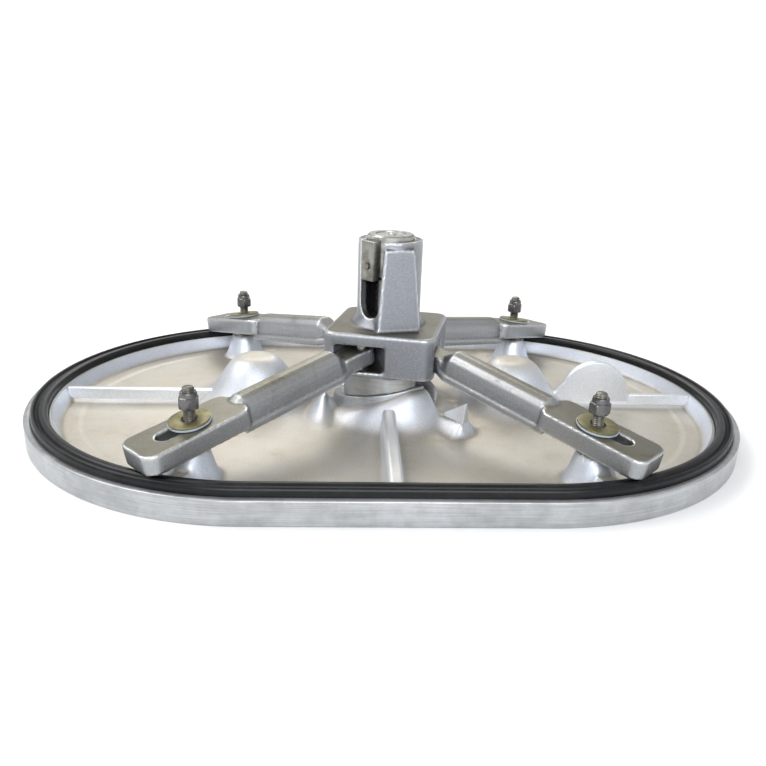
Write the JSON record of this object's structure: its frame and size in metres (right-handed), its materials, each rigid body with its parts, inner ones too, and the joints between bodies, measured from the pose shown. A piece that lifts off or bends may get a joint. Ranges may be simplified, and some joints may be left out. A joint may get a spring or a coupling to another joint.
{
  "type": "flush deck hatch cover",
  "caption": "Oblong cast hatch cover, inner side up, with rim gasket and radial dogging arms swung out by a central keyed hub.",
  "frame": {"origin": "centre of the cover's outline on its deck face", "axes": "+X along the cover, +Y across it, +Z out of the inner side along the spindle"},
  "size_m": [0.6498, 0.431, 0.1725],
  "materials": {
    "cast_cover": "sand-cast, brushed rim",
    "cast_hub": "sand-cast, handled",
    "cast_arm": "sand-cast, stained",
    "gasket_rubber": "satin extruded",
    "stainless": "worn satin",
    "spindle_steel": "machined, dull",
    "washer_steel": "passivated, olive",
    "nylon_washer": "matte",
    "nylon_insert": "matte",
    "bronze": "turned"
  },
  "bodies": {
    "cover": {"cover_casting": "cast_cover", "gasket": "gasket_rubber", "guide_studs": "stainless", "lock_nuts": "stainless", "nut_inserts": "nylon_insert", "spindle_bushing": "bronze", "thrust_washer": "bronze"},
    "spindle": {"spindle": "spindle_steel", "spindle_o_rings": "gasket_rubber", "retaining_ring": "stainless", "spindle_cap": "spindle_steel", "drive_key": "spindle_steel", "key_set_screw": "stainless"},
    "hub": {"hub": "cast_hub"},
    "pin_front_left": {"pivot_pin_front_left": "stainless"},
    "arm_front_left": {"arm_front_left": "cast_arm"},
    "washers_front_left": {"nylon_washer_front_left": "nylon_washer", "steel_washer_front_left": "washer_steel"},
    "pin_front_right": {"pivot_pin_front_right": "stainless"},
    "arm_front_right": {"arm_front_right": "cast_arm"},
    "washers_front_right": {"nylon_washer_front_right": "nylon_washer", "steel_washer_front_right": "washer_steel"},
    "pin_back_right": {"pivot_pin_back_right": "stainless"},
    "arm_back_right": {"arm_back_right": "cast_arm"},
    "washers_back_right": {"nylon_washer_back_right": "nylon_washer", "steel_washer_back_right": "washer_steel"},
    "pin_back_left": {"pivot_pin_back_left": "stainless"},
    "arm_back_left": {"arm_back_left": "cast_arm"},
    "washers_back_left": {"nylon_washer_back_left": "nylon_washer", "steel_washer_back_left": "washer_steel"}
  },
  "joints": [
    {"name": "spindle_turn", "type": "hinge", "parent": "cover", "child": "spindle", "pos_m": [0, 0, 0.02], "axis": [0, 0, 1], "range_deg": [-55, 0]},
    {"name": "hub_lift", "type": "slide", "parent": "spindle", "child": "hub", "axis": [0, 0, 1], "range_m": [-0.0091, 0]},
    {"name": "pin_swing_front_left", "type": "hinge", "parent": "hub", "child": "pin_front_left", "pos_m": [-0.02467, -0.03274, 0.0685], "axis": [0, 0, 1], "range_deg": [0, 66.5]},
    {"name": "arm_tilt_front_left", "type": "hinge", "parent": "pin_front_left", "child": "arm_front_left", "pos_m": [-0.02467, -0.03274, 0.0685], "axis": [0.6894, -0.7243, 0], "range_deg": [-3.25, 0]},
    {"name": "washer_tilt_front_left", "type": "hinge", "parent": "cover", "child": "washers_front_left", "pos_m": [-0.154, -0.154, 0.0529], "axis": [0.3746, -0.9272, 0], "range_deg": [-3.55, 0]},
    {"name": "pin_swing_front_right", "type": "hinge", "parent": "hub", "child": "pin_front_right", "pos_m": [0.03274, -0.02467, 0.0685], "axis": [0, 0, 1], "range_deg": [0, 66.5]},
    {"name": "arm_tilt_front_right", "type": "hinge", "parent": "pin_front_right", "child": "arm_front_right", "pos_m": [0.03274, -0.02467, 0.0685], "axis": [0.7243, 0.6894, 0], "range_deg": [-3.25, 0]},
    {"name": "washer_tilt_front_right", "type": "hinge", "parent": "cover", "child": "washers_front_right", "pos_m": [0.154, -0.154, 0.0529], "axis": [0.9272, 0.3746, 0], "range_deg": [-3.55, 0]},
    {"name": "pin_swing_back_right", "type": "hinge", "parent": "hub", "child": "pin_back_right", "pos_m": [0.02467, 0.03274, 0.0685], "axis": [0, 0, 1], "range_deg": [0, 66.5]},
    {"name": "arm_tilt_back_right", "type": "hinge", "parent": "pin_back_right", "child": "arm_back_right", "pos_m": [0.02467, 0.03274, 0.0685], "axis": [-0.6894, 0.7243, 0], "range_deg": [-3.25, 0]},
    {"name": "washer_tilt_back_right", "type": "hinge", "parent": "cover", "child": "washers_back_right", "pos_m": [0.154, 0.154, 0.0529], "axis": [-0.3746, 0.9272, 0], "range_deg": [-3.55, 0]},
    {"name": "pin_swing_back_left", "type": "hinge", "parent": "hub", "child": "pin_back_left", "pos_m": [-0.03274, 0.02467, 0.0685], "axis": [0, 0, 1], "range_deg": [0, 66.5]},
    {"name": "arm_tilt_back_left", "type": "hinge", "parent": "pin_back_left", "child": "arm_back_left", "pos_m": [-0.03274, 0.02467, 0.0685], "axis": [-0.7243, -0.6894, 0], "range_deg": [-3.25, 0]},
    {"name": "washer_tilt_back_left", "type": "hinge", "parent": "cover", "child": "washers_back_left", "pos_m": [-0.154, 0.154, 0.0529], "axis": [-0.9272, -0.3746, 0], "range_deg": [-3.55, 0]}
  ],
  "couplings": [
    {"joint": "hub_lift", "follows": "spindle_turn", "m_per_rad": 0.0093757},
    {"joint": "pin_swing_front_left", "follows": "spindle_turn", "ratio": -1.1961},
    {"joint": "arm_tilt_front_left", "follows": "spindle_turn", "ratio": 0.058182},
    {"joint": "washer_tilt_front_left", "follows": "spindle_turn", "ratio": 0.063636},
    {"joint": "pin_swing_front_right", "follows": "spindle_turn", "ratio": -1.1961},
    {"joint": "arm_tilt_front_right", "follows": "spindle_turn", "ratio": 0.058182},
    {"joint": "washer_tilt_front_right", "follows": "spindle_turn", "ratio": 0.063636},
    {"joint": "pin_swing_back_right", "follows": "spindle_turn", "ratio": -1.1961},
    {"joint": "arm_tilt_back_right", "follows": "spindle_turn", "ratio": 0.058182},
    {"joint": "washer_tilt_back_right", "follows": "spindle_turn", "ratio": 0.063636},
    {"joint": "pin_swing_back_left", "follows": "spindle_turn", "ratio": -1.1961},
    {"joint": "arm_tilt_back_left", "follows": "spindle_turn", "ratio": 0.058182},
    {"joint": "washer_tilt_back_left", "follows": "spindle_turn", "ratio": 0.063636}
  ]
}
